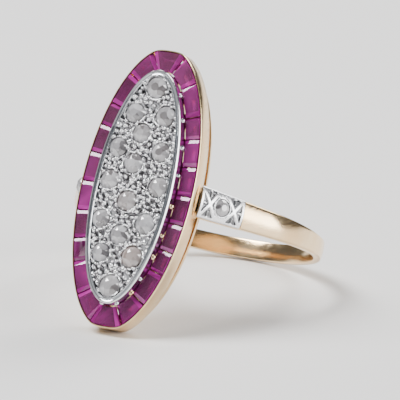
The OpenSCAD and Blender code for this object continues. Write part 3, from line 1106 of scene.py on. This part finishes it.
@dataclass
class ShoulderCap:
    """A white metal cap on an arm, engraved with crossed bars round its diamond. Millimetres."""

    band: Band
    stone_r: float = 0.6
    border: float = 0.16
    bar: float = 0.2
    leaf: float = 0.13
    deep: float = 0.15
    cell: float = 0.03

    def relief(self, x: np.ndarray, y: np.ndarray, half: np.ndarray) -> np.ndarray:
        """Depth of the engraving below the cap's face.

        Args:
            x: places along the arm from the cap's middle.
            y: places across the arm.
            half: half the arm's width at each place.

        Returns:
            The depth at each place.
        """
        half_l = self.band.cap_length / 2 - self.border
        seat_r = self.stone_r + 0.08
        half_cross = (half_l - seat_r * 0.6) / 2
        u = (np.abs(x) - half_l + half_cross) / half_cross
        v = y / (half - self.border)
        inside = (np.abs(u) < 1) & (np.abs(v) < 1)
        away = np.hypot(x, y) - self.stone_r
        low, high = np.minimum(np.abs(u), np.abs(v)), np.maximum(np.abs(u), np.abs(v))
        sunk = np.clip((high - low - self.bar) / 0.1, 0, 1) * np.clip((1 - high) / 0.06, 0, 1)
        leaf = np.clip(1 - (low / self.leaf) ** 2, 0, 1) * np.clip((high - 0.45) / 0.1, 0, 1)
        sunk = sunk * (1 - 0.85 * leaf) * inside * np.clip((away - 0.12) / 0.04, 0, 1)
        seat = np.where(away < 0.03, 1.6, 0.0)
        ring = np.clip(1 - ((away - 0.08) / 0.06) ** 2, 0, 1) * -0.3
        return self.deep * (sunk + seat + ring)

    def build(self, axes: RingAxes, finishes: Finishes, side: Side) -> None:
        """Models the cap on a grid, gives it its thickness and seats it."""
        band = self.band
        start = band.arm_run - band.cap_length
        columns = round(band.cap_length / self.cell)
        rows = round(band.width_head / self.cell)
        piece = Bench.grid(f"engraved_cap_{side.name.lower()}", columns, rows)
        places = Bench.points(piece)
        run = start + places[:, 0] * band.cap_length
        outward = band.outer_r * math.cos(band.arm_angle) + run * math.sin(band.arm_angle)
        half = np.array([band.half_width(r) for r in outward])
        share = places[:, 1] * 2 - 1
        y = share * half
        engraved = self.relief(run - start - band.cap_length / 2, y, half)
        edge = np.clip((np.abs(share) - 0.93) / 0.07, 0, 1) ** 2 * 0.05
        out = band.outer_r - y**2 / (2 * band.dome_r) - engraved - edge
        lean = (band.outer_r - out) * 0.05 * np.clip(places[:, 0] * 8 - 7, 0, 1)
        Bench.move_points(piece, np.stack([run - lean, y, out], 1))
        # painted shade: the engraving is painted darker the deeper it is cut
        hollow = piece.data.attributes.new("hollow", "FLOAT", "POINT")
        hollow.data.foreach_set("value", np.clip(engraved / self.deep - 0.15, 0, 1).astype(np.float32))
        Bench.edit(piece, "DESELECT")
        bpy.ops.mesh.select_non_manifold(extend=False)
        bpy.ops.mesh.extrude_region_move(TRANSFORM_OT_translate={"value": (0, 0, 0)})
        Bench.leave()
        sunk = Bench.points(piece)
        chosen = np.zeros(len(sunk), bool)
        piece.data.vertices.foreach_get("select", chosen)
        sunk[chosen, 2] = band.outer_r - band.cap_thick
        sunk[chosen, 0] = np.minimum(sunk[chosen, 0], band.arm_run - 0.018)
        Bench.move_points(piece, sunk)
        Bench.edit_chosen(piece)
        bpy.ops.mesh.fill_holes(sides=0)
        Bench.leave()
        Bench.smooth(piece, 50)
        node = f"shoulder_cap_{side.name.lower()}"
        Bench.seat(piece, axes.arm(side, band.arm_angle), finishes.engraved, Slot.WHITE, [node])


@dataclass
class FacetedStones:
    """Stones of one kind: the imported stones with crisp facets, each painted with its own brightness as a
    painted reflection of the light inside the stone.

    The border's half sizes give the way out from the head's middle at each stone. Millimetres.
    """

    starts: tuple[str, ...]
    slot: Slot
    # lights and table_lights are the painted reflection levels of the facets and of the table
    lights: tuple[float, ...]
    spread: float
    frame_width: float
    warm: dict[str, float]
    seed: int
    draw_out: float = 0.0
    stretch: float = 0.0
    lean: float = 0.0
    wedges: int = 0
    table_lights: tuple[float, ...] = ()
    border: tuple[float, float] = (3.7, 9.3)
    level_step: float = 0.03
    facet_angle: float = 0.8

    @staticmethod
    def table(piece: bpy.types.Object, axes: RingAxes) -> bpy.types.MeshPolygon:
        """The stone's largest facet among those that face outward."""
        return max(
            piece.data.polygons, key=lambda f: f.area if f.normal.dot(axes.outward) > FACING else 0.0
        )

    def reshape(self, piece: bpy.types.Object, axes: RingAxes, rng: np.random.Generator) -> None:
        """Draws a stone's table out toward its girdle, leans it and widens the stone toward the lip.

        Args:
            piece: the copied stone, in the row frame.
            axes: the ring's axes.
            rng: the seeded source of the lean.
        """
        back = np.array(axes.head().inverted())
        places = Bench.points(piece) @ back[:3, :3].T + back[:3, 3]
        height = places[:, 2]
        order = np.sort(height)[::-1]
        levels = [order[0], *order[1:][np.diff(order) < -self.level_step]]
        girdle = places[np.abs(height - levels[2]) < SAME_LEVEL, :2]
        for level in levels[:2]:
            for k in np.flatnonzero(np.abs(height - level) < SAME_LEVEL):
                away = girdle - places[k, :2]
                places[k, :2] += self.draw_out * away[np.argmin(np.hypot(away[:, 0], away[:, 1]))]
        middle = (places[:, :2].min(0) + places[:, :2].max(0)) / 2
        radial = middle / np.array(self.border) ** 2
        radial /= np.hypot(*radial)
        reach = (places[:, :2] - middle) @ radial
        share = (reach - reach.min()) / (reach.max() - reach.min())
        places[:, :2] += np.outer(share * self.stretch, radial)
        top = np.abs(height - levels[0]) < SAME_LEVEL
        slope = rng.uniform(-self.lean, self.lean, 2)
        places[top, 2] += (places[top, :2] - middle) @ slope
        ahead = np.array(axes.head())
        Bench.move_points(piece, places @ ahead[:3, :3].T + ahead[:3, 3])

    def cut(self, node: bpy.types.Object, axes: RingAxes, rng: np.random.Generator) -> bpy.types.Object:
        """Copies a packed stone and turns its triangles into flat facets.

        Args:
            node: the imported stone.
            axes: the ring's axes.
            rng: the seeded source of its lean.

        Returns:
            The faceted copy, in the row frame.
        """
        Bench.clear()
        piece = bpy.data.objects.new(f"{node.name}_cut", node.data.copy())
        bpy.context.scene.collection.objects.link(piece)
        Bench.edit(piece)
        bpy.ops.mesh.remove_doubles(threshold=0.002 * MILLIMETRE)
        if self.draw_out:
            Bench.leave()
            self.reshape(piece, axes, rng)
            Bench.edit(piece)
        bpy.ops.mesh.dissolve_limited(angle_limit=math.radians(self.facet_angle))
        bpy.ops.mesh.normals_make_consistent(inside=False)
        Bench.leave()
        if self.frame_width:
            table = self.table(piece, axes)
            for face in piece.data.polygons:
                face.select = face.index == table.index
            Bench.edit_chosen(piece, "FACE")
            bpy.ops.mesh.inset(thickness=self.frame_width * MILLIMETRE, depth=0.0)
            Bench.leave()
        bpy.ops.object.shade_flat()
        return piece

    def light_up(self, piece: bpy.types.Object, axes: RingAxes, name: str, rng: np.random.Generator) -> None:
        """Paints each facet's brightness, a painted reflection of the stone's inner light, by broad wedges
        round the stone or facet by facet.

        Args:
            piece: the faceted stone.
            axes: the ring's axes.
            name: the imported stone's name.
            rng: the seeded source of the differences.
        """
        # painted reflection: every facet corner gets a brightness level standing in for the light reflected
        # inside the stone
        painted_reflection = piece.data.attributes.new("painted_reflection", "FLOAT", "CORNER")
        middle = sum((v.co for v in piece.data.vertices), Vector()) / len(piece.data.vertices)
        start = rng.uniform(0, 2 * math.pi)
        order = rng.permutation(len(self.lights))
        table = self.table(piece, axes)
        for face in piece.data.polygons:
            level = rng.choice(self.lights)
            if self.table_lights and face.index == table.index:
                level = rng.choice(self.table_lights)
            away = face.center - middle
            if self.wedges and face.normal.dot(axes.outward) < FACING:
                angle = (math.atan2(away.dot(axes.finger), away.dot(axes.across)) + start) % (2 * math.pi)
                wedge = int(angle / (2 * math.pi) * self.wedges)
                level = self.lights[order[wedge % len(order)]]
            for corner in face.loop_indices:
                painted_reflection.data[corner].value = float(np.clip(level + rng.uniform(-self.spread, self.spread), 0, 1))
        warmth = piece.data.attributes.new("warmth", "FLOAT", "POINT")
        tint = self.warm.get(name, rng.uniform(0, 0.12))
        warmth.data.foreach_set("value", np.full(len(piece.data.vertices), tint, np.float32))

    def build(self, frame: dict, axes: RingAxes, finish: bpy.types.Material) -> None:
        """Cuts, lights and seats every stone of the kind."""
        rng = np.random.default_rng(self.seed)
        for name in sorted(n for n in frame["nodes"] if n.startswith(self.starts)):
            piece = self.cut(frame["nodes"][name], axes, rng)
            self.light_up(piece, axes, name, rng)
            Bench.seat(piece, Matrix.Identity(4), finish, self.slot, [name])


@dataclass
class Studio:
    """Floor, lights and camera. The camera's place is on the ring's own axes."""

    view: tuple[float, float, float] = (0.883, 0.449, -0.1405)
    upward: tuple[float, float, float] = (0.227, -0.144, 0.963)
    distance: float = 0.572
    frame_width: float = 0.02863
    aim_right: float = 0.00004
    aim_up: float = 0.00162
    sensor: float = 36.0

    def camera(self, axes: RingAxes) -> None:
        """Sets the camera at the photograph's angle to the ring."""
        basis = Matrix((axes.outward, axes.across, axes.finger)).transposed()
        back = (basis @ Vector(self.view)).normalized()
        up = basis @ Vector(self.upward)
        right = up.cross(back).normalized()
        up = back.cross(right)
        aim = axes.centre + right * self.aim_right + up * self.aim_up
        data = bpy.data.cameras.new("camera")
        data.sensor_width = self.sensor
        data.lens = self.sensor * self.distance / self.frame_width
        data.clip_end = 10
        camera = bpy.data.objects.new("camera", data)
        turn = Matrix((right, up, back)).transposed().to_4x4()
        camera.matrix_world = Matrix.Translation(aim + back * self.distance) @ turn
        bpy.context.scene.collection.objects.link(camera)
        bpy.context.scene.camera = camera

    @staticmethod
    def floor(finishes: Finishes) -> None:
        """Lays the pale floor under the ring."""
        Bench.clear()
        bpy.ops.mesh.primitive_plane_add(size=6.0)
        floor = Bench.named("floor")
        floor.data.materials.append(finishes.floor)

    @staticmethod
    def light(name: str, place: Sequence[float], target: Sequence[float], size: float, power: float) -> None:
        """Adds one soft square light aimed at a point."""
        data = bpy.data.lights.new(name, "AREA")
        data.energy = power
        data.size = size
        lamp = bpy.data.objects.new(name, data)
        aim = Vector(target) - Vector(place)
        lamp.rotation_euler = aim.to_track_quat("-Z", "Y").to_euler()
        lamp.location = place
        bpy.context.scene.collection.objects.link(lamp)

    def build(self, axes: RingAxes, finishes: Finishes) -> None:
        """Builds the studio round the ring."""
        self.camera(axes)
        self.floor(finishes)
        centre = axes.centre
        self.light("key", (0.10, -0.26, 0.44), centre, 0.24, 5.0)
        self.light("table", (0.46, -0.30, 0.28), centre, 0.30, 0.1)
        self.light("side", (0.02, 0.60, 0.20), centre, 0.42, 4.6)
        self.light("rim", (-0.40, 0.10, 0.35), centre, 0.25, 2.4)
        world = bpy.data.worlds.new("studio")
        world.use_nodes = True
        background = world.node_tree.nodes["Background"]
        background.inputs["Color"].default_value = (0.9, 0.93, 1.0, 1.0)
        background.inputs["Strength"].default_value = 0.12
        bpy.context.scene.world = world


def corners(box: Sequence[Vector]) -> list[list[float]]:
    """A box as plain lists of numbers."""
    return [[float(v) for v in corner] for corner in box]


def main() -> None:
    """Builds the ring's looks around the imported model."""
    logging.basicConfig(level=logging.INFO, format="%(name)s: %(message)s")
    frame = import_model()
    Bench.clear()
    axes = RingAxes.from_record(frame["record"])
    finishes = Finishes()
    diamonds = stone_places(frame, axes, "diamond")
    rubies = stone_places(frame, axes, "ruby")
    band = Band()
    band.build(axes, finishes)
    HeadSetting().build(axes, finishes, diamonds, rubies)
    GrainPlate().build(axes, finishes, diamonds)
    for side in Side:
        ShoulderCap(band).build(axes, finishes, side)
    FacetedStones(
        ("ruby",), Slot.RUBY, (0.45, 0.7, 0.85, 1.0), 0.18, 0.2, {}, seed=5,
        draw_out=0.8, stretch=0.04, lean=0.04, table_lights=(0.0, 0.1, 0.25, 0.5),
    ).build(frame, axes, finishes.ruby)
    FacetedStones(
        ("diamond", "shoulder_diamond"), Slot.DIAMOND, (0.1, 0.45, 0.6, 0.8, 1.0), 0.1, 0.0,
        {"diamond_15": 0.6, "diamond_10": 0.3}, seed=8, wedges=6,
    ).build(frame, axes, finishes.diamond)
    Studio().build(axes, finishes)


if __name__ == "__main__":
    main()
